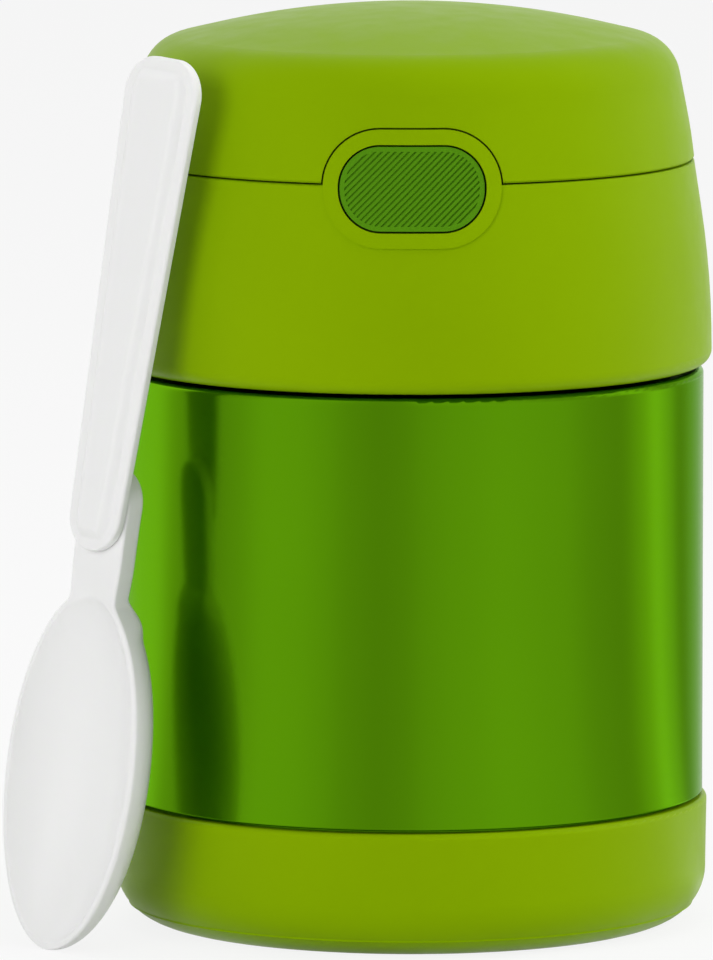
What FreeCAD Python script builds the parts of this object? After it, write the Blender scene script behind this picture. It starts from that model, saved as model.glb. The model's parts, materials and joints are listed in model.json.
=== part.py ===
import FreeCAD
import Part
import math
import os

from FreeCAD import Vector

# Insulated food jar with a screw lid, a flip cover over a spoon compartment, a push
# button in front and a folding spoon standing at its left. Millimetres. The jar's axis is
# Z, the floor is z = 0 and the button faces -Y.

# Steel body
steel_radius = 44.0
steel_wall = 0.6
steel_edge_radius = 1.0
steel_inner_edge_radius = 0.5
body_height = 64.7
vacuum_gap = 4.4
neck_step_in = 5.8
neck_root_radius = 1.5
neck_height = 15.8
liner_wall = 0.5
liner_floor_height = 8.4
liner_corner_radius = 8.0
liner_shoulder_drop = 0.7
liner_taper_height = 4.5
liner_taper_low_radius = 4.0
liner_taper_high_radius = 3.0
liner_rim_edge_radius = 0.3
neck_gap = 0.4
rim_thickness = 0.6

# Base boot
boot_top = 19.0
boot_gap = 0.4
boot_wall = 2.05
boot_proud = 0.65
boot_draft = 0.3
boot_floor = 2.6
boot_corner_radius = 8.0
boot_edge_radius = 0.8
shell_step_radius = 0.4
foot_groove_inset = 15.0
foot_groove_width = 2.0
foot_groove_depth = 0.6

# Bottom closure
closure_height = 5.4
closure_corner_radius = 3.0
dimple_radius = 5.0
dimple_height = 1.4
dimple_slope = 1.0
dimple_wall_shift = 0.4
dimple_edge_radius = 0.5
seal_hole_radius = 1.0
seal_inset = 1.0
seal_thickness = 1.2
getter_radius = 5.0
getter_thickness = 1.4
getter_offset = 18.0

# Lid collar
collar_gap = 0.5
collar_height = 30.8
collar_proud = 1.2
collar_bulge_rise = 12.8
collar_bulge_reach = 10.4
collar_edge_radius = 2.2
collar_wall = 2.2
collar_lift_in_rise = 5.8
collar_lift_in_curve = 4.0
collar_web_height = 3.8
collar_rim_width = 2.16
seam_step_in = 1.54
seam_gap = 0.25
seam_edge = 0.3

# Lid core, stopper and seal
core_skirt_wall = 1.6
core_skirt_lift = 1.8
core_corner_radius = 0.8
thread_room = 1.1
deck_thickness = 2.0
gasket_thickness = 1.8
gasket_width = 2.65
gasket_clearance = 0.15
gasket_edge_radius = 0.5
stopper_depth = 10.0
stopper_wall = 1.5
stopper_clearance = 1.1
stopper_corner_radius = 2.5
foam_clearance = 0.2
foam_edge_radius = 1.0

# Spoon tray
tray_flange_thickness = 1.6
tray_flange_drop = 0.6
tray_wall = 1.5
tray_end_margin = 2.7
tray_half_width = 15.5
tray_corner_radius = 10.0
tray_clearance = 0.1

# Flip cover
cover_height = 23.1
cover_crown_fall = 5.6
cover_crown_flat = 0.5
cover_crown_reach = 15.3
cover_shoulder_step_in = 3.06
cover_shoulder_curve = 7.0
cover_side_step_in = 0.51
cover_side_rise = 4.5
cover_side_reach = 3.1
cover_wall = 2.2
cover_edge_wall = 2.46
cover_seat_height = 2.8
liner_panel_drop = 8.1
liner_panel_thickness = 1.2
liner_panel_step_in = 7.16
liner_panel_curve = 3.0
liner_wall_draft = 0.2
liner_rim_height = 1.8

# Cover hinge
hinge_step_in = 0.26
hinge_lift = 1.2
knuckle_radius = 2.6
knuckle_clearance = 0.5
knuckle_half_width = 6.7
lug_gap = 0.3
lug_width = 5.0
pin_radius = 1.0
pin_running_clearance = 0.06
pin_end_recess = 0.2
hinge_pad_fall = 15.0
hinge_pad_depth = 0.6
hinge_pad_shoulder = 2.0
hinge_pad_curve = 8.0

# Release button and latch
button_width = 21.3
button_height = 12.3
button_corner_radius = 6.0
button_centre_drop = 0.51
button_gap = 0.3
button_travel = 1.5
button_inset = 0.15
button_groove_count = 25
button_groove_pitch = 0.695
button_groove_width = 0.27
button_groove_depth = 0.25
button_groove_margin = 0.7
button_groove_lean = 45.0
tab_margin = 2.5
tab_proud = 0.3
tab_depth = 2.66
flange_margin = 0.9
flange_thickness = 0.8
flange_gap = 0.3
latch_rail_inside = 5.6
latch_rail_outside = 8.0
latch_drop = 4.8
latch_thickness = 2.2
latch_bar_width = 1.8
latch_clearance = 0.3
catch_half_width = 5.0
catch_thickness = 1.6
catch_setback = 2.0
catch_nib = 0.6
catch_reach_below = 2.6
catch_rib_half_width = 0.8
catch_rib_depth = 5.0
catch_rib_rise = 7.0
housing_half_width = 9.8
housing_wall = 1.5
housing_floor_gap = 0.6
channel_clearance = 0.2
trough_clearance = 0.3
spring_length = 5.0
spring_radius = 1.9
spring_wire = 0.45
spring_turns = 5
spring_rise = 0.3

# Folding spoon: local X runs across it, Y up its length from the pivot, Z out of its face
spoon_gap = 9.75
spoon_bearing = 33.85
spoon_lean_right = 7.6
spoon_lean_back = 2.2
spoon_turn = 45.0
spoon_pivot_to_tip = 67.3
bowl_half_length = 27.4
bowl_half_width = 14.25
bowl_depth = 5.4
bowl_wall = 1.4
bowl_ledge = 0.8
hollow_lift = 2.67
throat_setback = 2.0
throat_half_length = 8.0
throat_half_width = 4.0
throat_depth = 0.9
throat_lift = 3.0
neck_root_half_width = 4.4
neck_root_overlap = 5.5
neck_root_thickness = 2.0
neck_head_radius = 5.2
neck_thickness = 3.6
handle_reach = 66.6
handle_foot_reach = 7.3
handle_foot_half_width = 5.1
handle_top_half_width = 8.0
handle_corner_radius = 6.0
handle_thickness = 2.2
handle_edge_radius = 0.5
handle_panel_margin = 1.9
handle_panel_top_margin = 3.0
handle_panel_foot_margin = 4.0
handle_panel_depth = 0.6
handle_panel_radius = 0.25
spoon_plate_gap = 0.15
rivet_radius = 2.0
rivet_running_clearance = 0.06
rivet_head_radius = 3.4
rivet_head_thickness = 0.9
rivet_head_clearance = 0.2
rivet_head_recess = 0.1
rivet_blind_depth = 1.2
spoon_round_relief = 0.05

# Sizes that follow from those above
boot_bore_radius = steel_radius + boot_proud - boot_wall
foot_groove_radius = steel_radius - foot_groove_inset
liner_radius = steel_radius - steel_wall - vacuum_gap
neck_radius = steel_radius - neck_step_in
neck_inner_radius = neck_radius - steel_wall
mouth_radius = neck_inner_radius - neck_gap - liner_wall
shoulder_height = boot_top + body_height
rim_height = shoulder_height + neck_height
collar_bottom = shoulder_height + collar_gap
collar_top = collar_bottom + collar_height
collar_radius = steel_radius + collar_proud
collar_bulge_height = collar_bottom + collar_bulge_rise
seam_radius = steel_radius - seam_step_in
collar_bore_radius = seam_radius - collar_rim_width
cover_bottom = collar_top + seam_gap / 2
collar_face = collar_top - seam_gap / 2
deck_bottom = rim_height + gasket_thickness
deck_top = deck_bottom + deck_thickness
core_skirt_radius = neck_radius + thread_room
core_outer_radius = core_skirt_radius + core_skirt_wall
stopper_radius = mouth_radius - stopper_clearance
stopper_bottom = rim_height - stopper_depth
tray_flange_top = collar_top - tray_flange_drop
tray_half_length = collar_bore_radius - tray_end_margin
cover_top = collar_top + cover_height
cover_shoulder_radius = seam_radius - cover_shoulder_step_in
cover_shoulder_height = cover_top - cover_crown_fall
cover_side_radius = seam_radius - cover_side_step_in
cover_side_height = collar_top + cover_side_rise
liner_panel_height = cover_top - liner_panel_drop
liner_panel_radius = seam_radius - liner_panel_step_in
liner_bottom_radius = seam_radius - cover_edge_wall
hinge_back = seam_radius - hinge_step_in
hinge_height = collar_top + hinge_lift
hinge_pad_bottom = collar_top - hinge_pad_fall
lug_start = knuckle_half_width + lug_gap
lug_end = lug_start + lug_width
button_centre_height = collar_top - button_centre_drop
tab_width = button_width + 2 * tab_margin
tab_height = button_height + 2 * tab_margin
tab_corner_radius = button_corner_radius + tab_margin
tab_inner_radius = seam_radius - tab_depth
flange_outer_radius = tab_inner_radius - flange_gap
flange_inner_radius = flange_outer_radius - flange_thickness
catch_front = flange_inner_radius - catch_setback
catch_back = catch_front - catch_thickness
latch_edge = catch_back - catch_nib - latch_clearance
latch_back = latch_edge - latch_bar_width
latch_bottom = collar_top - latch_drop
catch_bottom = latch_bottom - catch_reach_below
catch_nib_height = catch_reach_below - latch_clearance
catch_rib_bottom = collar_top + catch_rib_rise
housing_back = latch_back - spring_length
housing_floor_height = catch_bottom - housing_floor_gap
spring_height = latch_bottom + spring_rise
bowl_start = spoon_pivot_to_tip - 2 * bowl_half_length
neck_root_reach = bowl_start + neck_root_overlap
throat_reach = bowl_start + throat_setback
beyond = 1.0
far = 200.0


def corner_edges(corners):
    """Edges of a closed outline; a corner is (a, b) or (a, b, radius of its rounding)."""
    points = [Vector(c[0], 0, c[1]) for c in corners]
    radii = [c[2] if len(c) > 2 else 0.0 for c in corners]
    starts, ends, middles = [], [], []
    for i, point in enumerate(points):
        before = (points[i - 1] - point).normalize()
        after = (points[(i + 1) % len(points)] - point).normalize()
        half = before.getAngle(after) / 2
        reach = radii[i] / math.tan(half) if radii[i] else 0.0
        starts.append(point + before * reach)
        ends.append(point + after * reach)
        inward = before + after
        if radii[i]:
            depth = radii[i] / math.sin(half) - radii[i]
            middles.append(point + inward.normalize() * depth)
        else:
            middles.append(None)
    edges = []
    for i in range(len(points)):
        if middles[i]:
            edges.append(Part.Arc(starts[i], middles[i], ends[i]).toShape())
        following = starts[(i + 1) % len(points)]
        if (following - ends[i]).Length > 1e-6:
            edges.append(Part.LineSegment(ends[i], following).toShape())
    return edges


def corner_face(corners):
    return Part.Face(Part.Wire(Part.sortEdges(corner_edges(corners))[0]))


def turned(corners):
    """Solid of revolution about the jar's axis; corners are (radius, height)."""
    return corner_face(corners).revolve(Vector(0, 0, 0), Vector(0, 0, 1), 360)


def eased(before, corner, after, reach):
    """The corner, rounded from reach away on both sides; all are (radius, height)."""
    first = Vector(before[0] - corner[0], 0, before[1] - corner[1])
    second = Vector(after[0] - corner[0], 0, after[1] - corner[1])
    return (corner[0], corner[1], reach * math.tan(first.getAngle(second) / 2))


def moved_in(points, inset):
    """Corners of an open outline that runs out and down, each run moved in by inset."""
    sides = []
    for start, end in zip(points, points[1:]):
        run = Vector(end[0] - start[0], 0, end[1] - start[1]).normalize()
        sides.append(Vector(run.z, 0, -run.x))
    moved = []
    for i, point in enumerate(points):
        before = sides[max(i - 1, 0)]
        after = sides[min(i, len(sides) - 1)]
        shift = (before + after) * (inset / (1 + before.dot(after)))
        moved.append((point[0] + shift.x, point[1] + shift.z))
    return moved


def across_front(corners):
    """Prism along Y from well in front of the jar to its axis; corners are (x, z)."""
    face = corner_face(corners)
    face.translate(Vector(0, -far, 0))
    return face.extrude(Vector(0, far, 0))


def rounded_window(width, height, radius, centre_height):
    x, z = width / 2, height / 2
    low, high = centre_height - z, centre_height + z
    return across_front(
        [(-x, low, radius), (x, low, radius), (x, high, radius), (-x, high, radius)]
    )


def block(x0, x1, y0, y1, z0, z1):
    return Part.makeBox(x1 - x0, y1 - y0, z1 - z0, Vector(x0, y0, z0))


def post(radius, z0, z1, x=0.0, y=0.0):
    return Part.makeCylinder(radius, z1 - z0, Vector(x, y, z0))


def hinge_barrel(radius, x0, x1):
    return Part.makeCylinder(
        radius, x1 - x0, Vector(x0, hinge_back, hinge_height), Vector(1, 0, 0)
    )


# Steel body


def outer_shell():
    wall = steel_wall
    step = boot_top + boot_gap
    return turned(
        [
            (boot_bore_radius, boot_floor + wall),
            (boot_bore_radius, step),
            (steel_radius, step, shell_step_radius),
            (steel_radius, shoulder_height, steel_edge_radius),
            (neck_radius, shoulder_height, neck_root_radius),
            (neck_radius, rim_height - rim_thickness),
            (neck_inner_radius, rim_height - rim_thickness),
            (neck_inner_radius, shoulder_height - wall, neck_root_radius + wall),
            (steel_radius - wall, shoulder_height - wall, steel_inner_edge_radius),
            (steel_radius - wall, step + wall),
            (boot_bore_radius - wall, step + wall),
            (boot_bore_radius - wall, boot_floor + wall),
        ]
    )


def inner_liner():
    wall = liner_wall
    neck_outside = mouth_radius + wall
    taper_top = shoulder_height - liner_shoulder_drop
    taper_bottom = taper_top - liner_taper_height
    low = liner_floor_height
    flange_bottom = rim_height - rim_thickness
    return turned(
        [
            (0, low),
            (liner_radius, low, liner_corner_radius),
            (liner_radius, taper_bottom, liner_taper_low_radius),
            (neck_outside, taper_top, liner_taper_high_radius),
            (neck_outside, flange_bottom),
            (neck_radius, flange_bottom),
            (neck_radius, rim_height, liner_rim_edge_radius),
            (mouth_radius, rim_height, liner_rim_edge_radius),
            (mouth_radius, taper_top, liner_taper_high_radius + wall),
            (liner_radius - wall, taper_bottom, liner_taper_low_radius - wall),
            (liner_radius - wall, low + wall, liner_corner_radius - wall),
            (0, low + wall),
        ]
    )


def outer_bottom():
    wall = steel_wall
    radius = boot_bore_radius - wall
    low, high = boot_floor, boot_floor + dimple_height
    foot = dimple_radius + dimple_slope
    edge = dimple_edge_radius
    return turned(
        [
            (seal_hole_radius, high),
            (dimple_radius, high, edge),
            (foot, low, edge),
            (radius, low, closure_corner_radius),
            (radius, low + closure_height),
            (radius - wall, low + closure_height),
            (radius - wall, low + wall, closure_corner_radius - wall),
            (foot + dimple_wall_shift, low + wall, edge),
            (dimple_radius + dimple_wall_shift, high + wall, edge),
            (seal_hole_radius, high + wall),
        ]
    )


def vacuum_seal():
    ceiling = boot_floor + dimple_height
    bead = post(dimple_radius - seal_inset, ceiling - seal_thickness, ceiling)
    return bead.fuse(post(seal_hole_radius, ceiling, ceiling + steel_wall)).removeSplitter()


def getter():
    low = liner_floor_height - getter_thickness
    return post(getter_radius, low, liner_floor_height, getter_offset)


def base_boot():
    top_radius = steel_radius + boot_proud
    groove = foot_groove_radius
    return turned(
        [
            (0, 0),
            (groove, 0),
            (groove, foot_groove_depth),
            (groove + foot_groove_width, foot_groove_depth),
            (groove + foot_groove_width, 0),
            (top_radius - boot_draft, 0, boot_corner_radius),
            (top_radius, boot_top, boot_edge_radius),
            (boot_bore_radius, boot_top),
            (boot_bore_radius, boot_floor),
            (0, boot_floor),
        ]
    )


# Lid


def cover_outline(inset):
    """Corners of the cover's outside from its top down, or of a surface inset inside it."""
    points = [
        (0, cover_top),
        (cover_crown_flat + cover_crown_reach, cover_top),
        (cover_shoulder_radius, cover_shoulder_height),
        (cover_side_radius, cover_side_height),
        (seam_radius, cover_bottom),
    ]
    crown = eased(points[0], points[1], points[2], cover_crown_reach)
    side = eased(points[2], points[3], points[4], cover_side_reach)
    moved = moved_in(points, inset)
    return [
        moved[0],
        (*moved[1], crown[2] - inset),
        (*moved[2], cover_shoulder_curve - inset),
        (*moved[3], side[2] - inset),
    ]


def collar_outline(proud):
    """Corners of the collar's outside from its lower edge up, moved out by proud."""
    radius = collar_radius + proud
    low = (radius, collar_bottom)
    high = (seam_radius + proud, collar_top)
    bulge = eased(low, (radius, collar_bulge_height), high, collar_bulge_reach)
    return [(*low, collar_edge_radius), bulge]


def front_skin(proud, inner_radius):
    """Ring that follows the outside of the collar and the cover past the seam."""
    side = cover_outline(0)[2:]
    return turned(
        [(inner_radius, collar_bottom)]
        + collar_outline(proud)
        + [(seam_radius + proud, collar_top)]
        + [(c[0] + proud, c[1], c[2]) for c in reversed(side)]
        + [(inner_radius, cover_shoulder_height)]
    )


def lid_collar():
    ring = turned(
        [(collar_radius - collar_wall, collar_bottom)]
        + collar_outline(0)
        + [
            (seam_radius, collar_face, seam_edge),
            (collar_bore_radius, collar_face),
            (collar_bore_radius, deck_top),
            (core_outer_radius, deck_top),
            (core_outer_radius, deck_top - collar_web_height),
            (
                collar_radius - collar_wall,
                collar_bottom + collar_lift_in_rise,
                collar_lift_in_curve,
            ),
        ]
    )
    tab_outline = rounded_window(
        tab_width, tab_height, tab_corner_radius, button_centre_height
    )
    tab = front_skin(tab_proud, tab_inner_radius).common(tab_outline)
    inside = post(collar_bore_radius, 0, far).fuse(post(core_outer_radius, 0, deck_top))
    pad = hinge_pad().cut(inside)
    knuckle_room = hinge_barrel(knuckle_radius + knuckle_clearance, -lug_start, lug_start)
    lugs = hinge_barrel(knuckle_radius, -lug_end, lug_end)
    collar = ring.fuse([tab, pad, lugs]).cut(knuckle_room)
    collar = collar.cut(hinge_barrel(pin_radius, -far, far))
    button_hole = rounded_window(
        button_width + 2 * button_gap,
        button_height + 2 * button_gap,
        button_corner_radius + button_gap,
        button_centre_height,
    )
    return collar.cut(button_hole).removeSplitter()


def hinge_pad():
    """Pad at the back that carries the two hinge lugs down into the collar."""
    back = hinge_back + knuckle_radius
    face = corner_face(
        [
            (collar_bore_radius, hinge_pad_bottom),
            (back - hinge_pad_depth, hinge_pad_bottom),
            (
                back,
                hinge_height - knuckle_radius - hinge_pad_shoulder,
                hinge_pad_curve,
            ),
            (back, hinge_height),
            (hinge_back, hinge_height),
            (collar_bore_radius, collar_face),
        ]
    )
    face.rotate(Vector(0, 0, 0), Vector(0, 0, 1), 90)
    face.translate(Vector(-lug_end, 0, 0))
    return face.extrude(Vector(2 * lug_end, 0, 0))


def lid_core():
    return turned(
        [
            (core_skirt_radius, collar_bottom + core_skirt_lift),
            (core_outer_radius, collar_bottom + core_skirt_lift),
            (core_outer_radius, deck_top),
            (0, deck_top),
            (0, deck_bottom),
            (core_skirt_radius, deck_bottom, core_corner_radius),
        ]
    )


def stopper_cup():
    return turned(
        [
            (0, stopper_bottom),
            (stopper_radius, stopper_bottom, stopper_corner_radius),
            (stopper_radius, deck_bottom),
            (stopper_radius - stopper_wall, deck_bottom),
            (
                stopper_radius - stopper_wall,
                stopper_bottom + stopper_wall,
                stopper_corner_radius - stopper_wall,
            ),
            (0, stopper_bottom + stopper_wall),
        ]
    )


def lid_insulation():
    low = stopper_bottom + stopper_wall + foam_clearance
    radius = stopper_radius - stopper_wall - foam_clearance
    high = deck_bottom - foam_clearance
    return turned([(0, low), (radius, low, foam_edge_radius), (radius, high), (0, high)])


def lid_gasket():
    inside = stopper_radius + gasket_clearance
    outside = inside + gasket_width
    return turned(
        [
            (inside, rim_height),
            (outside, rim_height, gasket_edge_radius),
            (outside, deck_bottom, gasket_edge_radius),
            (inside, deck_bottom),
        ]
    )


def spoon_pocket(margin, z0, z1):
    """The compartment's room, a long rounded rectangle, grown by margin."""
    x, y = tray_half_length + margin, tray_half_width + margin
    room = block(-x, x, -y, y, z0, z1)
    uprights = [e for e in room.Edges if abs(e.BoundBox.ZLength - (z1 - z0)) < 1e-6]
    return room.makeFillet(tray_corner_radius + margin, uprights)


def spoon_tray():
    top = tray_flange_top
    low = top - tray_flange_thickness
    radius = collar_bore_radius - tray_clearance
    tray = post(radius, low, top).fuse(spoon_pocket(tray_wall, deck_top, top))
    tray = tray.cut(spoon_pocket(0, deck_top + tray_wall, top + beyond))
    tab_reach = tab_width / 2 + button_gap
    front = block(-tab_reach, tab_reach, -far, 0, low - beyond, top + beyond)
    pressed = flange_inner_radius - latch_clearance
    swept = front.cut(post(pressed, low - 2 * beyond, top + 2 * beyond, 0, button_travel))
    swept = swept.common(block(-far, far, -far, -housing_back, low - beyond, top + beyond))
    window = catch_half_width + 2 * latch_clearance
    slot_back = -(latch_edge - latch_clearance)
    slot = block(-window, window, -far, slot_back, low - beyond, top + beyond)
    tray = tray.cut([swept, slot])
    room = knuckle_radius + knuckle_clearance
    return tray.cut(hinge_barrel(room, -lug_end - lug_gap, lug_end + lug_gap)).removeSplitter()


# Flip cover


def cover_window():
    return rounded_window(
        tab_width + 2 * seam_gap,
        tab_height + 2 * seam_gap,
        tab_corner_radius + seam_gap,
        button_centre_height,
    )


def lug_rooms():
    room = knuckle_radius + knuckle_clearance
    reach = lug_end + lug_gap
    return [
        hinge_barrel(room, -reach, -knuckle_half_width),
        hinge_barrel(room, knuckle_half_width, reach),
    ]


def cover_dome():
    inside = cover_outline(cover_wall)
    seat = liner_bottom_radius
    shell = turned(
        cover_outline(0)
        + [(seam_radius, cover_bottom + seam_edge)]
        + [(seam_radius - seam_edge, cover_bottom), (seat, cover_bottom)]
        + [(seat, cover_bottom + cover_seat_height)]
        + [inside[2], inside[1], inside[0]]
    )
    knuckle = hinge_barrel(knuckle_radius, -knuckle_half_width, knuckle_half_width)
    dome = shell.fuse(knuckle)
    pin_room = hinge_barrel(pin_radius + pin_running_clearance, -far, far)
    return dome.cut([cover_window(), pin_room] + lug_rooms()).removeSplitter()


def room_under_liner(margin, low):
    """Space inside the cover's liner; margin grows it to the liner's outside."""
    return [
        (0, liner_panel_height + margin),
        (
            liner_panel_radius + margin,
            liner_panel_height + margin,
            liner_panel_curve + margin,
        ),
        (
            liner_bottom_radius - liner_panel_thickness - liner_wall_draft + margin,
            low + liner_rim_height,
        ),
    ]


def cover_liner():
    low = cover_bottom
    seat = liner_bottom_radius
    inside = room_under_liner(0, low)
    outside = room_under_liner(liner_panel_thickness, low)
    liner = turned(
        outside
        + [(seat, low + liner_rim_height), (seat, low)]
        + [(inside[2][0], low)]
        + list(reversed(inside))
    )
    knuckle = hinge_barrel(knuckle_radius, -knuckle_half_width, knuckle_half_width)
    return liner.cut([cover_window(), knuckle] + lug_rooms()).removeSplitter()


def cover_catch():
    """Tongue that hangs from the cover's liner behind the button, with its nib."""
    wide, back, low = catch_half_width, -catch_back, catch_bottom
    high = liner_panel_height + beyond
    tongue = block(-wide, wide, -catch_front, back, low, high)
    nib = block(-wide, wide, back, back + catch_nib, low, low + catch_nib_height)
    rib_half = catch_rib_half_width
    rib = block(-rib_half, rib_half, back, back + catch_rib_depth, catch_rib_bottom, high)
    room = room_under_liner(0, cover_bottom)
    below = turned([(0, low - beyond), (room[2][0], low - beyond)] + room[::-1])
    return tongue.fuse([nib, rib]).common(below).removeSplitter()


def hinge_pin():
    end = lug_end - pin_end_recess
    return hinge_barrel(pin_radius, -end, end)


# Release button and latch


def button_outline(margin):
    return rounded_window(
        button_width + 2 * margin,
        button_height + 2 * margin,
        button_corner_radius + margin,
        button_centre_height,
    )


def button_grooves():
    """Slanting grooves between the button's ribs, across its whole height."""
    grooves = []
    half = button_groove_width / 2
    for i in range(button_groove_count):
        at = (i - (button_groove_count - 1) / 2) * button_groove_pitch
        groove = block(-button_width, button_width, -far, 0, at - half, at + half)
        groove.rotate(Vector(0, 0, 0), Vector(0, 1, 0), -button_groove_lean)
        groove.translate(Vector(0, 0, button_centre_height))
        grooves.append(groove)
    return Part.makeCompound(grooves)


def release_button():
    face = tab_proud - button_inset
    plate = front_skin(face, flange_inner_radius).common(button_outline(0))
    low = button_centre_height - button_height
    high = button_centre_height + button_height
    flange = post(flange_outer_radius, low, high).cut(post(flange_inner_radius, low, high))
    flange = flange.common(button_outline(flange_margin))
    floor = face - button_groove_depth
    skin = front_skin(face + beyond, tab_inner_radius).cut(
        front_skin(floor, tab_inner_radius - beyond)
    )
    cutters = skin.common(button_outline(-button_groove_margin)).common(button_grooves())
    return plate.fuse(flange).cut(cutters).removeSplitter()


def latch_slider():
    low, high = latch_bottom, latch_bottom + latch_thickness
    outside, inside = latch_rail_outside, latch_rail_inside
    frame = block(-outside, outside, -far, -latch_back, low, high)
    room = block(-inside, inside, -far, -latch_edge, low - beyond, high + beyond)
    frame = frame.cut(room)
    return frame.common(post(flange_inner_radius, low, high))


def latch_housing():
    top = tray_flange_top - tray_flange_thickness
    wide = housing_half_width
    body = block(-wide, wide, -far, -housing_back + housing_wall, deck_top, top)
    pressed = flange_inner_radius - latch_clearance / 2
    body = body.common(post(pressed, deck_top, top, 0, button_travel))
    rails = latch_rail_outside + latch_clearance
    channel_floor = latch_bottom - channel_clearance
    channel = block(-rails, rails, -far, -housing_back, channel_floor, far)
    well_half = catch_half_width + latch_clearance
    well_back = -(latch_edge - latch_clearance)
    well = block(-well_half, well_half, -far, well_back, housing_floor_height, far)
    half = spring_radius + spring_wire / 2 + trough_clearance
    trough = block(-half, half, well_back, -housing_back, spring_height - half, far)
    return body.cut([channel, well, trough]).removeSplitter()


def button_spring():
    """Coil between the slider's bar and the housing's back wall, along Y."""
    pitch = (spring_length - spring_wire) / spring_turns
    helix = Part.makeHelix(pitch, spring_length - spring_wire, spring_radius)
    start = Vector(spring_radius, 0, 0)
    section = Part.Wire(Part.Circle(start, Vector(0, 1, 0), spring_wire / 2).toShape())
    coil = Part.Wire(helix).makePipeShell([section], True, False)
    coil.translate(Vector(0, 0, spring_wire / 2))
    coil.rotate(Vector(0, 0, 0), Vector(1, 0, 0), -90)
    coil.translate(Vector(0, -latch_back, spring_height))
    return coil


# Folding spoon


def spoon_axes():
    """The spoon's own directions at rest: across it, up it, and out of its face."""
    up = Vector(
        math.tan(math.radians(spoon_lean_right)),
        math.tan(math.radians(spoon_lean_back)),
        1,
    ).normalize()
    turn = math.radians(spoon_turn)
    across = Vector(math.cos(turn), -math.sin(turn), 0)
    across = (across - up * across.dot(up)).normalize()
    return across, up, across.cross(up)


def spoon_pivot_point():
    """The pivot's centre, at the height that stands the bowl's tip on the floor."""
    across, up, out = spoon_axes()
    reach = math.sqrt(
        (bowl_half_width * across.z) ** 2
        + (bowl_half_length * up.z) ** 2
        + (bowl_depth * out.z) ** 2
    )
    height = (spoon_pivot_to_tip - bowl_half_length) * up.z + reach
    bearing = math.radians(spoon_bearing)
    radius = collar_radius + spoon_gap
    return Vector(-radius * math.cos(bearing), -radius * math.sin(bearing), height)


def stood_up(shape):
    """Moves a piece from the spoon's own frame to where the spoon stands."""
    across, up, out = spoon_axes()
    at = spoon_pivot_point()
    rows = []
    for axis in ("x", "y", "z"):
        rows += [getattr(v, axis) for v in (across, up, out, at)]
    shape.transformShape(FreeCAD.Matrix(*rows, 0, 0, 0, 1))
    return shape


def flat_plate(corners, z0, z1):
    """Plate between two heights of the spoon's own frame; corners are (x, y)."""
    face = corner_face(corners)
    face.rotate(Vector(0, 0, 0), Vector(1, 0, 0), -90)
    face.translate(Vector(0, 0, z0))
    return face.extrude(Vector(0, 0, z1 - z0))


def ellipsoid(half_width, half_length, half_depth, y, z):
    ball = Part.makeSphere(1.0)
    stretch = FreeCAD.Matrix()
    stretch.scale(half_width, half_length, half_depth)
    ball = ball.transformGeometry(stretch)
    ball.translate(Vector(0, y, z))
    return ball


def dish(half_width, half_length, depth, lift, y):
    """Room with an elliptical rim in the face plane; lift above it sets its centre."""
    half_depth = depth + lift
    share = math.sqrt(1 - (lift / half_depth) ** 2)
    return ellipsoid(half_width / share, half_length / share, half_depth, y, lift)


def neck_plate():
    """The neck with its round head, narrower and thinner towards the bowl."""
    head, root = neck_head_radius, neck_root_half_width
    outline = flat_plate(
        [
            (-root, -neck_root_reach),
            (root, -neck_root_reach),
            (head, 0),
            (head, head, head - spoon_round_relief),
            (-head, head, head - spoon_round_relief),
            (-head, 0),
        ],
        -neck_thickness,
        0,
    )
    side = corner_face(
        [
            (-neck_root_reach, 0),
            (-neck_root_reach, -neck_root_thickness),
            (-head, -neck_thickness),
            (head, -neck_thickness),
            (head, 0),
        ]
    )
    side.rotate(Vector(0, 0, 0), Vector(0, 0, 1), 90)
    side.translate(Vector(-far, 0, 0))
    return outline.common(side.extrude(Vector(2 * far, 0, 0)))


def spoon_bowl():
    middle = bowl_half_length - spoon_pivot_to_tip
    outside = ellipsoid(bowl_half_width, bowl_half_length, bowl_depth, middle, 0)
    bowl = outside.common(block(-far, far, -far, far, -far, 0))
    hollow = dish(
        bowl_half_width - bowl_ledge,
        bowl_half_length - bowl_ledge,
        bowl_depth - bowl_wall,
        hollow_lift,
        middle,
    )
    throat = dish(
        throat_half_width, throat_half_length, throat_depth, throat_lift, -throat_reach
    )
    back = -neck_thickness
    head_room = post(
        rivet_head_radius + rivet_head_clearance, back - beyond, back + rivet_head_thickness
    )
    hole = post(rivet_radius + rivet_running_clearance, back - beyond, beyond)
    spoon = bowl.fuse(neck_plate()).cut([hollow, throat, hole, head_room])
    return stood_up(spoon.removeSplitter())


def handle_corners(inset, top_inset, foot_inset):
    """Tapered outline of the handle, moved in from its edges."""
    foot = handle_foot_half_width - inset
    top = handle_top_half_width - inset
    low = -handle_foot_reach + foot_inset
    high = handle_reach - top_inset
    corner = handle_corner_radius - inset
    return [
        (-foot, low, foot - spoon_round_relief),
        (foot, low, foot - spoon_round_relief),
        (top, high, corner),
        (-top, high, corner),
    ]


def edges_at(shape, height):
    """The edges that lie flat at a height."""
    near = 1e-4
    level = [e for e in shape.Edges if e.BoundBox.ZLength < near]
    return [e for e in level if abs(e.CenterOfMass.z - height) < near]


def spoon_handle():
    low = spoon_plate_gap
    high = low + handle_thickness
    plate = flat_plate(handle_corners(0, 0, 0), low, high)
    plate = plate.makeFillet(handle_edge_radius, edges_at(plate, high))
    margins = (handle_panel_margin, handle_panel_top_margin, handle_panel_foot_margin)
    floor = high - handle_panel_depth
    panel = flat_plate(handle_corners(*margins), floor, high + beyond)
    panel = panel.makeFillet(handle_panel_radius, edges_at(panel, floor))
    plate = plate.cut(panel)
    hole = post(rivet_radius, low - beyond, low + rivet_blind_depth)
    return stood_up(plate.cut(hole))


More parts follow.
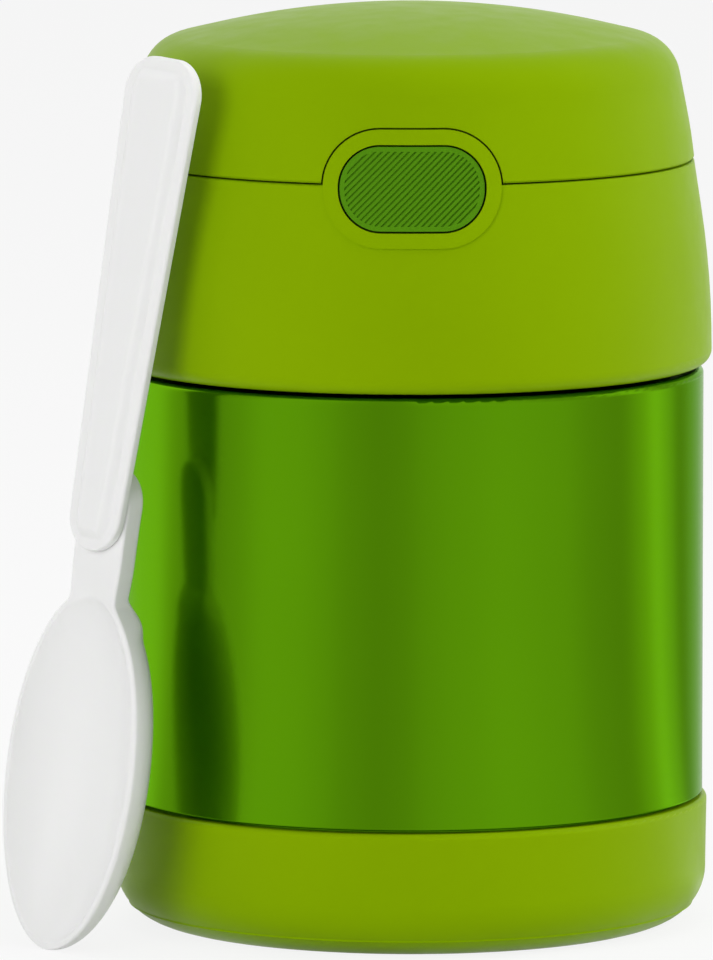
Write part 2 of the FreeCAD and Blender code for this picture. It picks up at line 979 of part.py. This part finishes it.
def spoon_pivot():
    low = -neck_thickness
    shank = post(rivet_radius, low, spoon_plate_gap + rivet_blind_depth)
    top = low + rivet_head_thickness - rivet_head_recess
    return stood_up(shank.fuse(post(rivet_head_radius, low, top)).removeSplitter())


PIECES = [
    outer_shell,
    inner_liner,
    outer_bottom,
    vacuum_seal,
    getter,
    base_boot,
    lid_collar,
    lid_core,
    stopper_cup,
    lid_insulation,
    lid_gasket,
    spoon_tray,
    cover_dome,
    cover_liner,
    cover_catch,
    hinge_pin,
    release_button,
    latch_slider,
    latch_housing,
    button_spring,
    spoon_bowl,
    spoon_handle,
    spoon_pivot,
]

os.makedirs("parts", exist_ok=True)
for piece in PIECES:
    solid = piece()
    solid.exportStep(os.path.join("parts", piece.__name__ + ".step"))
    box = solid.BoundBox
    print(
        f"{piece.__name__}: {len(solid.Solids)} solid, {solid.Volume:.1f} mm3, "
        f"valid {solid.isValid()}, z {box.ZMin:.2f} to {box.ZMax:.2f}"
    )
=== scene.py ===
"""Looks of an insulated food jar with a domed flip cover and a folding spoon, over its CAD frame."""

import json
import math

import bpy
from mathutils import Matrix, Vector


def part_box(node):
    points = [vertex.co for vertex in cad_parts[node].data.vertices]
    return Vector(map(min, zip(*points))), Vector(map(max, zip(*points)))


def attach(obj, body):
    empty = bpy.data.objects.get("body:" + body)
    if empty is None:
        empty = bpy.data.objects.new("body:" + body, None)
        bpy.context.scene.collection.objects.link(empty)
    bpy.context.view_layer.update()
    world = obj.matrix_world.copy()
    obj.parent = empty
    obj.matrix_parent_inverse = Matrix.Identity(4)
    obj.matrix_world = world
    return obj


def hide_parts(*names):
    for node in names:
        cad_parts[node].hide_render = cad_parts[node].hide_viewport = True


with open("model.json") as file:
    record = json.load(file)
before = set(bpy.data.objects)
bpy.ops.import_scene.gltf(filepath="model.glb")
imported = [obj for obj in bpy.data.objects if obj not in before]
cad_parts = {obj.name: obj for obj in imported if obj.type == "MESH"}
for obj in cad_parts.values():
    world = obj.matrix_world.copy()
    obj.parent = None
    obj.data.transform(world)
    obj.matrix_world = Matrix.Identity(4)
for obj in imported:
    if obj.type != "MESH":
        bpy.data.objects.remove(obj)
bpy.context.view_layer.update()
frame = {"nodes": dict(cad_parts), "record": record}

MM = 0.001

# Height of the liner's rim, which the thread follows, in metres
rim_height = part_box("inner_liner")[1][2]

# Screw thread: two starts, the same lead as the lid's own joints
THREAD_LEAD = 6.0 * MM
THREAD_STARTS = 2
NECK_RADIUS = 38.2 * MM
SKIRT_RADIUS = 39.3 * MM
RIDGE_REACH = 0.75 * MM
RIDGE_WIDTH = 1.1 * MM
RIDGE_TURNS = 1.05
RIDGE_FADE = 0.06
RIDGE_SUNK = 0.05 * MM
RIDGE_STEPS_PER_TURN = 96
RIDGE_PROFILE = [(-0.5, 0.0), (-0.36, 0.62), (-0.16, 1.0), (0.16, 1.0), (0.36, 0.62), (0.5, 0.0)]
NECK_THREAD_LIFT = -12.4 * MM


# Helpers


def new_object(name, points, faces):
    mesh = bpy.data.meshes.new(name)
    mesh.from_pydata(points, [], faces)
    form = bpy.data.objects.new(name, mesh)
    bpy.context.scene.collection.objects.link(form)
    return form


def smooth_object(name, points, faces, finish):
    form = new_object(name, points, faces)
    form.data.update()
    for polygon in form.data.polygons:
        polygon.use_smooth = True
    form.data.materials.append(finish)
    return form


def math_node(nodes, operation):
    node = nodes.new("ShaderNodeMath")
    node.operation = operation
    return node


# Materials


def new_material(name):
    material = bpy.data.materials.new(name)
    material.use_nodes = True
    nodes = material.node_tree.nodes
    return material, nodes, material.node_tree.links, nodes["Principled BSDF"]


def object_coordinates(nodes, links, stretch=(1.0, 1.0, 1.0)):
    coordinates = nodes.new("ShaderNodeTexCoord")
    mapping = nodes.new("ShaderNodeMapping")
    mapping.inputs["Scale"].default_value = stretch
    links.new(coordinates.outputs["Object"], mapping.inputs["Vector"])
    return mapping.outputs["Vector"]


def noise(nodes, links, vector, scale, detail=2.0, roughness=0.5):
    texture = nodes.new("ShaderNodeTexNoise")
    texture.inputs["Scale"].default_value = scale
    texture.inputs["Detail"].default_value = detail
    texture.inputs["Roughness"].default_value = roughness
    links.new(vector, texture.inputs["Vector"])
    return texture.outputs["Fac"]


def spread(nodes, links, factor, low, high):
    """Maps a noise of 0.3 to 0.7 onto low to high."""
    span = nodes.new("ShaderNodeMapRange")
    span.inputs["From Min"].default_value = 0.3
    span.inputs["From Max"].default_value = 0.7
    span.inputs["To Min"].default_value = low
    span.inputs["To Max"].default_value = high
    links.new(factor, span.inputs["Value"])
    return span.outputs["Result"]


def tinted(nodes, links, factor, colour, depth):
    """The colour, darkened by up to depth where the factor is low."""
    ramp = nodes.new("ShaderNodeValToRGB")
    ramp.color_ramp.elements[0].position = 0.3
    ramp.color_ramp.elements[1].position = 0.7
    ramp.color_ramp.elements[0].color = (*[c * (1.0 - depth) for c in colour], 1.0)
    ramp.color_ramp.elements[1].color = (*colour, 1.0)
    links.new(factor, ramp.inputs["Fac"])
    return ramp.outputs["Color"]


def bumped(nodes, links, factor, distance, strength):
    bump = nodes.new("ShaderNodeBump")
    bump.inputs["Distance"].default_value = distance
    bump.inputs["Strength"].default_value = strength
    links.new(factor, bump.inputs["Height"])
    return bump.outputs["Normal"]


PLASTIC_CLOUD_SCALE = 55.0
PLASTIC_GLOSS_SCALE = 240.0
PLASTIC_GRAIN_SCALE = 2600.0
PLASTIC_IOR = 1.49
BRUSHED_ROUND_STRETCH = (1.0, 1.0, 26.0)
LACQUER_SHINE = (0.62, 0.88, 0.45)


def moulded_plastic(
    name, colour, gloss_low, gloss_high, grain, clouding=0.03, glow=0.0,
    shine=0.5, shine_tint=(1.0, 1.0, 1.0),
):
    """Moulded plastic: an even colour with faint flow clouding and a fine satin grain."""
    material, nodes, links, shader = new_material(name)
    vector = object_coordinates(nodes, links)
    cloud = noise(nodes, links, vector, PLASTIC_CLOUD_SCALE, 3.0)
    uneven = noise(nodes, links, vector, PLASTIC_GLOSS_SCALE, 4.0)
    fine = noise(nodes, links, vector, PLASTIC_GRAIN_SCALE, 2.0, 0.6)
    links.new(tinted(nodes, links, cloud, colour, clouding), shader.inputs["Base Color"])
    links.new(spread(nodes, links, uneven, gloss_low, gloss_high), shader.inputs["Roughness"])
    links.new(bumped(nodes, links, fine, 0.02 * MM, grain), shader.inputs["Normal"])
    shader.inputs["IOR"].default_value = PLASTIC_IOR
    shader.inputs["Specular IOR Level"].default_value = shine
    shader.inputs["Specular Tint"].default_value = (*shine_tint, 1.0)
    if glow:
        shader.inputs["Subsurface Weight"].default_value = glow
        shader.inputs["Subsurface Radius"].default_value = (0.9, 1.0, 0.8)
        shader.inputs["Subsurface Scale"].default_value = 1.2 * MM
    return material


def lacquered_steel(name, colour):
    """Clear green lacquer over steel brushed round the body."""
    material, nodes, links, shader = new_material(name)
    vector = object_coordinates(nodes, links, BRUSHED_ROUND_STRETCH)
    brushing = noise(nodes, links, vector, 190.0, 4.0, 0.6)
    cloud = noise(nodes, links, object_coordinates(nodes, links), 30.0, 2.0)
    links.new(tinted(nodes, links, cloud, colour, 0.03), shader.inputs["Base Color"])
    links.new(spread(nodes, links, brushing, 0.17, 0.21), shader.inputs["Roughness"])
    links.new(bumped(nodes, links, brushing, 0.006 * MM, 0.25), shader.inputs["Normal"])
    shader.inputs["Metallic"].default_value = 1.0
    shader.inputs["Specular Tint"].default_value = (*LACQUER_SHINE, 1.0)
    shader.inputs["Coat Weight"].default_value = 0.04
    shader.inputs["Coat Roughness"].default_value = 0.05
    shader.inputs["Coat IOR"].default_value = 1.45
    return material


def brushed_steel(name, colour, rough_low, rough_high, along=(1.0, 1.0, 30.0)):
    material, nodes, links, shader = new_material(name)
    vector = object_coordinates(nodes, links, along)
    brushing = noise(nodes, links, vector, 160.0, 5.0, 0.65)
    links.new(tinted(nodes, links, brushing, colour, 0.10), shader.inputs["Base Color"])
    links.new(
        spread(nodes, links, brushing, rough_low, rough_high), shader.inputs["Roughness"]
    )
    links.new(bumped(nodes, links, brushing, 0.01 * MM, 0.4), shader.inputs["Normal"])
    shader.inputs["Metallic"].default_value = 1.0
    return material


def soft_silicone(name, colour):
    material, nodes, links, shader = new_material(name)
    vector = object_coordinates(nodes, links)
    dust = noise(nodes, links, vector, 420.0, 4.0, 0.6)
    links.new(tinted(nodes, links, dust, colour, 0.06), shader.inputs["Base Color"])
    links.new(spread(nodes, links, dust, 0.5, 0.62), shader.inputs["Roughness"])
    links.new(bumped(nodes, links, dust, 0.02 * MM, 0.2), shader.inputs["Normal"])
    shader.inputs["Subsurface Weight"].default_value = 0.25
    shader.inputs["Subsurface Scale"].default_value = 1.0 * MM
    return material


def cut_foam(name, colour):
    material, nodes, links, shader = new_material(name)
    vector = object_coordinates(nodes, links)
    cells = nodes.new("ShaderNodeTexVoronoi")
    cells.inputs["Scale"].default_value = 1400.0
    links.new(vector, cells.inputs["Vector"])
    links.new(
        tinted(nodes, links, cells.outputs["Distance"], colour, 0.2),
        shader.inputs["Base Color"],
    )
    links.new(
        bumped(nodes, links, cells.outputs["Distance"], 0.15 * MM, 0.7),
        shader.inputs["Normal"],
    )
    shader.inputs["Roughness"].default_value = 0.95
    return material


LIME = (0.243, 0.408, 0.0006)
LIME_SHINE = (0.60, 0.90, 0.02)
BUTTON_GREEN = (0.088, 0.270, 0.006)
BUTTON_SHINE = (0.30, 0.85, 0.15)
LACQUER_GREEN = (0.100, 0.297, 0.0006)

finishes = {
    "lime_plastic": moulded_plastic(
        "lime_plastic", LIME, 0.34, 0.42, 0.35, shine=0.09, shine_tint=LIME_SHINE
    ),
    "button_green": moulded_plastic(
        "button_green", BUTTON_GREEN, 0.36, 0.46, 0.4, shine=0.12, shine_tint=BUTTON_SHINE
    ),
    "lacquered_steel": lacquered_steel("lacquered_steel", LACQUER_GREEN),
    "bare_steel": brushed_steel("bare_steel", (0.60, 0.60, 0.585), 0.22, 0.34),
    "white_plastic": moulded_plastic(
        "white_plastic", (0.90, 0.90, 0.895), 0.30, 0.32, 0.12, 0.003, 0.15
    ),
    "silicone": soft_silicone("silicone", (0.70, 0.72, 0.70)),
    "foam": cut_foam("foam", (0.82, 0.82, 0.78)),
}
node_slots = {row["node"]: row["material_slot"] for row in frame["record"]["subparts"]}


def dress_frame():
    for node, piece in frame["nodes"].items():
        finish = finishes[node_slots[node]]
        if not piece.data.materials:
            piece.data.materials.append(finish)
        for place in range(len(piece.material_slots)):
            piece.material_slots[place].material = finish


# Screw thread


def thread_ridge(name, root_radius, outward, low, phase, finish, body):
    """A rounded ridge along a right-hand helix, faded out at both ends."""
    steps = int(RIDGE_STEPS_PER_TURN * RIDGE_TURNS)
    points = []
    for i in range(steps + 1):
        share = i / steps
        fade = min(1.0, share / RIDGE_FADE, (1.0 - share) / RIDGE_FADE)
        reach = RIDGE_REACH * math.sin(fade * math.pi / 2)
        angle = phase + share * RIDGE_TURNS * 2 * math.pi
        height = low + THREAD_LEAD * share * RIDGE_TURNS
        for across, out in RIDGE_PROFILE:
            sunk = RIDGE_SUNK if out == 0.0 else 0.0
            radius = root_radius + outward * (reach * out - sunk)
            level = height + across * RIDGE_WIDTH
            points.append((radius * math.cos(angle), radius * math.sin(angle), level))
    count = len(RIDGE_PROFILE)
    faces = []
    for i in range(steps):
        for j in range(count):
            here, there = i * count, (i + 1) * count
            follow = (j + 1) % count
            quad = (here + j, there + j, there + follow, here + follow)
            faces.append(quad if outward > 0 else quad[::-1])
    first = tuple(range(count))
    last = tuple(steps * count + j for j in range(count))
    faces.append(first if outward > 0 else first[::-1])
    faces.append(last[::-1] if outward > 0 else last)
    ridge = smooth_object(name, points, faces, finish)
    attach(ridge, body)


def screw_threads():
    low = rim_height + NECK_THREAD_LIFT
    between = THREAD_LEAD / THREAD_STARTS / 2
    for start in range(THREAD_STARTS):
        phase = start * 2 * math.pi / THREAD_STARTS
        thread_ridge(
            f"neck_thread_{start + 1}", NECK_RADIUS, 1, low, phase,
            finishes["lacquered_steel"], "jar",
        )
        thread_ridge(
            f"lid_thread_{start + 1}", SKIRT_RADIUS, -1, low + between, phase,
            finishes["lime_plastic"], "lid",
        )


# Folding spoon, in its own frame at the pivot: x across it, y up it, z out of its face, mm

SPOON_PIVOT = Vector((-45.636, -30.608, 66.685))
SPOON_LEAN_RIGHT = math.radians(7.6)
SPOON_LEAN_BACK = math.radians(2.2)
SPOON_TURN = math.radians(45.0)
BOWL_MIDDLE = -40.3
BOWL_HALF_LENGTH = 26.9
BOWL_HALF_WIDTH = 13.5
BOWL_DEPTH = 8.4
BOWL_SIDE_POWER = 2.5
BOWL_TIP_FULLNESS = 2.2
BOWL_HEEL_FULLNESS = 3.0
BOWL_EDGE = 0.5
BOWL_BACK_EDGE = 0.7
HOLLOW_LEDGE = 1.0
HOLLOW_DEPTH = 6.9
HOLLOW_FULLNESS = 0.8
THROAT_PLACE = -15.0
THROAT_DIP = 0.55
THROAT_HALF_WIDTH = 3.2
THROAT_HALF_LENGTH = 3.6
NECK_HALF_WIDTH = 5.1
NECK_WAIST = 0.35
NECK_BLEND = 0.7
NECK_BACK_BLEND = 0.5
NECK_THICKNESS = 3.5
NECK_SQUARENESS = 9.0
HEAD_RADIUS = 5.2
HANDLE_BACK = 0.15
HANDLE_RIM = 1.65
HANDLE_FOOT = -7.3
HANDLE_TOP = 66.7
HANDLE_FOOT_HALF_WIDTH = 5.15
HANDLE_TOP_HALF_WIDTH = 7.85
HANDLE_CORNER = 6.0
HANDLE_LEAN = math.tan(math.radians(1.9))
HANDLE_EDGE = 0.55
HANDLE_BACK_EDGE = 0.3
PANEL_START = 1.9
PANEL_SLOPE = 1.7
PANEL_RISE = 1.05
ACROSS_STEPS = 56
CREASE_ANGLE = math.radians(38)


def smooth_step(low, high, value):
    share = min(1.0, max(0.0, (value - low) / (high - low)))
    return share * share * (3.0 - 2.0 * share)


def smooth_larger(a, b, softness):
    return 0.5 * (a + b + math.sqrt((a - b) ** 2 + softness**2))


def rounded_off(distance, radius):
    """How far a rounded edge lies below its face at a distance in from its side."""
    if distance >= radius:
        return 0.0
    return radius - math.sqrt(radius**2 - (radius - max(distance, 0.0)) ** 2)


def spoon_place(x, y, z):
    up = Vector((math.tan(SPOON_LEAN_RIGHT), math.tan(SPOON_LEAN_BACK), 1.0)).normalized()
    across = Vector((math.cos(SPOON_TURN), -math.sin(SPOON_TURN), 0.0))
    across = (across - up * across.dot(up)).normalized()
    out = across.cross(up)
    return (SPOON_PIVOT + across * x + up * y + out * z) * MM


def lofted(name, stations, half_width, middle, front, back):
    """Closed form through rings across the spoon, one at each station along it."""
    steps = ACROSS_STEPS
    points = []
    for y in stations:
        wide = half_width(y)
        places = [wide * math.sin((2 * i / steps - 1) * math.pi / 2) for i in range(steps + 1)]
        ring = [(x, front(x, y, wide)) for x in places]
        ring += [(x, back(x, y, wide)) for x in reversed(places)]
        points += [spoon_place(x + middle(y), y, z) for x, z in ring]
    count = 2 * (steps + 1)
    faces = []
    for i in range(len(stations) - 1):
        for j in range(count):
            here, there, follow = i * count, (i + 1) * count, (j + 1) % count
            faces.append((here + j, here + follow, there + follow, there + j))
    last = (len(stations) - 1) * count
    faces.append(tuple(reversed(range(count))))
    faces.append(tuple(last + j for j in range(count)))
    form = smooth_object(name, points, faces, finishes["white_plastic"])
    form.data.set_sharp_from_angle(angle=CREASE_ANGLE)
    return form


def bowl_share(y):
    return (y - BOWL_MIDDLE) / BOWL_HALF_LENGTH


def scoop_half_width(y):
    bowl = BOWL_HALF_WIDTH * math.sqrt(max(0.0, 1.0 - bowl_share(y) ** 2))
    if y < BOWL_MIDDLE:
        return bowl
    if y > 0.0:
        return HEAD_RADIUS * math.sqrt(max(0.0, 1.0 - (y / HEAD_RADIUS) ** 2))
    neck = NECK_HALF_WIDTH - NECK_WAIST * smooth_step(9.0, 14.5, -y)
    neck += (HEAD_RADIUS - NECK_HALF_WIDTH) * smooth_step(-4.0, 0.0, y)
    softness = NECK_BLEND * smooth_step(9.0, 13.0, -y)
    return max(neck, bowl) if softness == 0.0 else smooth_larger(bowl, neck, softness)


def scoop_front(x, y, wide):
    inside = (x / (BOWL_HALF_WIDTH - HOLLOW_LEDGE)) ** 2
    inside += ((y - BOWL_MIDDLE) / (BOWL_HALF_LENGTH - HOLLOW_LEDGE)) ** 2
    height = -HOLLOW_DEPTH * max(0.0, 1.0 - inside) ** HOLLOW_FULLNESS
    across, along = x / THROAT_HALF_WIDTH, (y - THROAT_PLACE) / THROAT_HALF_LENGTH
    height -= THROAT_DIP * math.exp(-(across**2) - along**2)
    return height - rounded_off(wide - abs(x), min(BOWL_EDGE, wide / 2))


def scoop_back(x, y, wide):
    share = min(1.0, abs(bowl_share(y)))
    fullness = BOWL_HEEL_FULLNESS if y > BOWL_MIDDLE else BOWL_TIP_FULLNESS
    deep = BOWL_DEPTH * max(0.0, 1.0 - share**fullness) ** (1 / fullness)
    if y > BOWL_MIDDLE:
        deep = smooth_larger(deep, NECK_THICKNESS, NECK_BACK_BLEND)
    power = BOWL_SIDE_POWER + NECK_SQUARENESS * smooth_step(-20.0, -11.0, y)
    edge = min(BOWL_BACK_EDGE, deep)
    round_off = max(0.0, 1.0 - min(1.0, abs(x) / wide) ** power) ** (1 / power)
    return -edge - (deep - edge) * round_off


def handle_half_width(y):
    share = (y - HANDLE_FOOT) / (HANDLE_TOP - HANDLE_FOOT)
    wide = HANDLE_FOOT_HALF_WIDTH + (HANDLE_TOP_HALF_WIDTH - HANDLE_FOOT_HALF_WIDTH) * share
    foot_middle = HANDLE_FOOT + HANDLE_FOOT_HALF_WIDTH
    if y < foot_middle:
        turn = (y - foot_middle) / HANDLE_FOOT_HALF_WIDTH
        wide *= math.sqrt(max(0.0, 1.0 - turn**2))
    past = y - (HANDLE_TOP - HANDLE_CORNER)
    if past > 0.0:
        wide -= HANDLE_CORNER - math.sqrt(max(0.0, HANDLE_CORNER**2 - past**2))
    return wide


def inside_handle(x, y, wide):
    """Distance in from the handle's nearest side or end."""
    return min(wide - abs(x), HANDLE_TOP - y, y - HANDLE_FOOT)


def handle_front(x, y, wide):
    inside = inside_handle(x, y, wide)
    share = min(1.0, max(0.0, (inside - PANEL_START) / PANEL_SLOPE))
    rise = PANEL_RISE * math.sin(share * math.pi / 2)
    return HANDLE_RIM + rise - rounded_off(inside, HANDLE_EDGE)


def handle_back(x, y, wide):
    return HANDLE_BACK + rounded_off(inside_handle(x, y, wide), HANDLE_BACK_EDGE)


def spread_out(start, end, steps):
    """Even places from start up to, and not at, end."""
    return [start + (end - start) * i / steps for i in range(steps)]


def folding_spoon():
    tip = [BOWL_MIDDLE - BOWL_HALF_LENGTH * math.cos(a) for a in spread_out(0.03, 2.55, 84)]
    neck = spread_out(tip[-1] + 0.35, 0.0, 46)
    head = [HEAD_RADIUS * math.sin(a) for a in spread_out(0.0, 1.55, 20)]
    scoop = lofted(
        "spoon_scoop", tip + neck + head, scoop_half_width, lambda y: 0.0,
        scoop_front, scoop_back,
    )
    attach(scoop, "spoon")
    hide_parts("spoon_bowl")
    middle = HANDLE_FOOT + HANDLE_FOOT_HALF_WIDTH
    corner = HANDLE_TOP - HANDLE_CORNER
    foot = [middle - HANDLE_FOOT_HALF_WIDTH * math.cos(a) for a in spread_out(0.04, 1.57, 26)]
    shaft = spread_out(middle, corner, 80)
    top = [corner + HANDLE_CORNER * math.sin(a) for a in spread_out(0.0, 1.56, 28)]
    grip = lofted(
        "spoon_grip", foot + shaft + top, handle_half_width, lambda y: HANDLE_LEAN * y,
        handle_front, handle_back,
    )
    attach(grip, "spoon_arm")
    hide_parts("spoon_handle")


# Studio

TENT_STOPS = [
    (-180, 1.00), (-150, 0.95), (-128, 1.30), (-116, 1.36), (-101, 0.80), (-84, 0.64),
    (-72, 0.80), (-56, 1.03), (-43, 1.00), (-33, 0.90), (-23, 0.74), (-12, 0.66),
    (-3, 0.70), (6, 0.84), (18, 0.92), (34, 1.00), (58, 0.93), (75, 0.74), (88, 0.66),
    (100, 1.00), (109, 1.50), (117, 1.10), (128, 0.56), (140, 0.76), (156, 0.80),
    (180, 1.00),
]


def tent_brightness(nodes, links, vector):
    """Light and dark bands of the white tent round the object, by bearing from its front."""
    parts = nodes.new("ShaderNodeSeparateXYZ")
    links.new(vector, parts.inputs["Vector"])
    back = math_node(nodes, "MULTIPLY")
    back.inputs[1].default_value = -1.0
    links.new(parts.outputs["Y"], back.inputs[0])
    bearing = math_node(nodes, "ARCTAN2")
    links.new(parts.outputs["X"], bearing.inputs[0])
    links.new(back.outputs["Value"], bearing.inputs[1])
    share = nodes.new("ShaderNodeMapRange")
    share.inputs["From Min"].default_value = -math.pi
    share.inputs["From Max"].default_value = math.pi
    links.new(bearing.outputs["Value"], share.inputs["Value"])
    ramp = nodes.new("ShaderNodeValToRGB")
    ramp.color_ramp.interpolation = "EASE"
    elements = ramp.color_ramp.elements
    for place, (degrees, level) in enumerate(TENT_STOPS):
        position = (degrees + 180) / 360
        if place in (0, 1):
            stop = elements[place]
            stop.position = position
        else:
            stop = elements.new(position)
        stop.color = (level, level, level, 1.0)
    links.new(share.outputs["Result"], ramp.inputs["Fac"])
    return ramp.outputs["Color"]


WORLD_LEVEL = 0.44
FLOOR_WHITE = 0.80
FLOOR_CAMERA_SHARE = 0.86
FLOOR_HALF_SIZE = 6.0
WHITE = (1.0, 1.0, 1.0, 1.0)


def shiny_share(nodes, links, path):
    """One for rays that come off or through something glossy, nought for the rest."""
    shiny = math_node(nodes, "MAXIMUM")
    links.new(path.outputs["Is Glossy Ray"], shiny.inputs[0])
    links.new(path.outputs["Is Transmission Ray"], shiny.inputs[1])
    return shiny.outputs["Value"]


def mixed(nodes, links, factor, first, second):
    mix = nodes.new("ShaderNodeMixShader")
    links.new(factor, mix.inputs["Fac"])
    links.new(first, mix.inputs[1])
    links.new(second, mix.inputs[2])
    return mix.outputs["Shader"]


def make_world():
    world = bpy.data.worlds.new("studio_tent")
    world.use_nodes = True
    bpy.context.scene.world = world
    nodes, links = world.node_tree.nodes, world.node_tree.links
    nodes.clear()
    output = nodes.new("ShaderNodeOutputWorld")
    coordinates = nodes.new("ShaderNodeTexCoord")
    path = nodes.new("ShaderNodeLightPath")
    fill = nodes.new("ShaderNodeBackground")
    fill.inputs["Color"].default_value = WHITE
    fill.inputs["Strength"].default_value = WORLD_LEVEL
    tent = nodes.new("ShaderNodeBackground")
    links.new(
        tent_brightness(nodes, links, coordinates.outputs["Generated"]), tent.inputs["Color"]
    )
    white = nodes.new("ShaderNodeBackground")
    white.inputs["Color"].default_value = WHITE
    reflected = mixed(
        nodes, links, shiny_share(nodes, links, path),
        fill.outputs["Background"], tent.outputs["Background"],
    )
    seen = mixed(
        nodes, links, path.outputs["Is Camera Ray"], reflected, white.outputs["Background"]
    )
    links.new(seen, output.inputs["Surface"])


def floor_material():
    material = bpy.data.materials.new("pale_floor")
    material.use_nodes = True
    nodes, links = material.node_tree.nodes, material.node_tree.links
    nodes.clear()
    output = nodes.new("ShaderNodeOutputMaterial")
    place = nodes.new("ShaderNodeNewGeometry")
    path = nodes.new("ShaderNodeLightPath")
    paint = nodes.new("ShaderNodeBsdfDiffuse")
    paint.inputs["Color"].default_value = (FLOOR_WHITE, FLOOR_WHITE, FLOOR_WHITE, 1.0)
    glow = nodes.new("ShaderNodeEmission")
    glow.inputs["Strength"].default_value = 1.0
    tent = nodes.new("ShaderNodeEmission")
    links.new(tent_brightness(nodes, links, place.outputs["Position"]), tent.inputs["Color"])
    seen_share = math_node(nodes, "MULTIPLY")
    seen_share.inputs[1].default_value = FLOOR_CAMERA_SHARE
    links.new(path.outputs["Is Camera Ray"], seen_share.inputs[0])
    reflected = mixed(
        nodes, links, shiny_share(nodes, links, path),
        paint.outputs["BSDF"], tent.outputs["Emission"],
    )
    seen = mixed(
        nodes, links, seen_share.outputs["Value"], reflected, glow.outputs["Emission"]
    )
    links.new(seen, output.inputs["Surface"])
    return material


def make_floor():
    half = FLOOR_HALF_SIZE
    corners = [(-half, -half, 0.0), (half, -half, 0.0), (half, half, 0.0), (-half, half, 0.0)]
    floor = new_object("floor", corners, [(0, 1, 2, 3)])
    floor.data.materials.append(floor_material())


LAMP_TARGET = Vector((0.0, 0.0, 0.07))


def softbox(name, place, size, power):
    """A soft lamp that lights the object and isn't mirrored in it."""
    light = bpy.data.lights.new(name, "AREA")
    light.shape = "RECTANGLE"
    light.size, light.size_y = size
    light.energy = power
    lamp = bpy.data.objects.new(name, light)
    bpy.context.scene.collection.objects.link(lamp)
    lamp.location = place
    lamp.visible_glossy = False
    facing = LAMP_TARGET - Vector(place)
    lamp.rotation_euler = facing.to_track_quat("-Z", "Y").to_euler()


def make_lights():
    softbox("key_right", (1.03, -0.02, 0.50), (0.45, 0.80), 6.8)
    softbox("fill_left", (-0.72, -0.98, 0.42), (0.70, 0.90), 6.3)
    softbox("top", (0.05, 0.10, 1.00), (0.70, 0.45), 1.8)


CAMERA_DISTANCE = 1.920
CAMERA_HEIGHT = 0.3044
CAMERA_TILT = 7.071
CAMERA_SIDE = -0.00817
CAMERA_LENS = 482.2
CAMERA_SENSOR = 36.0


def make_camera():
    data = bpy.data.cameras.new("camera")
    data.sensor_fit = "AUTO"
    data.sensor_width = CAMERA_SENSOR
    data.lens = CAMERA_LENS
    data.clip_start = 0.05
    data.clip_end = 50.0
    camera = bpy.data.objects.new("camera", data)
    bpy.context.scene.collection.objects.link(camera)
    camera.location = (CAMERA_SIDE, -CAMERA_DISTANCE, CAMERA_HEIGHT)
    camera.rotation_euler = (math.radians(90.0 - CAMERA_TILT), 0.0, 0.0)
    bpy.context.scene.camera = camera


dress_frame()
screw_threads()
folding_spoon()
make_world()
make_floor()
make_lights()
make_camera()
bpy.context.scene.view_settings.view_transform = "Standard"
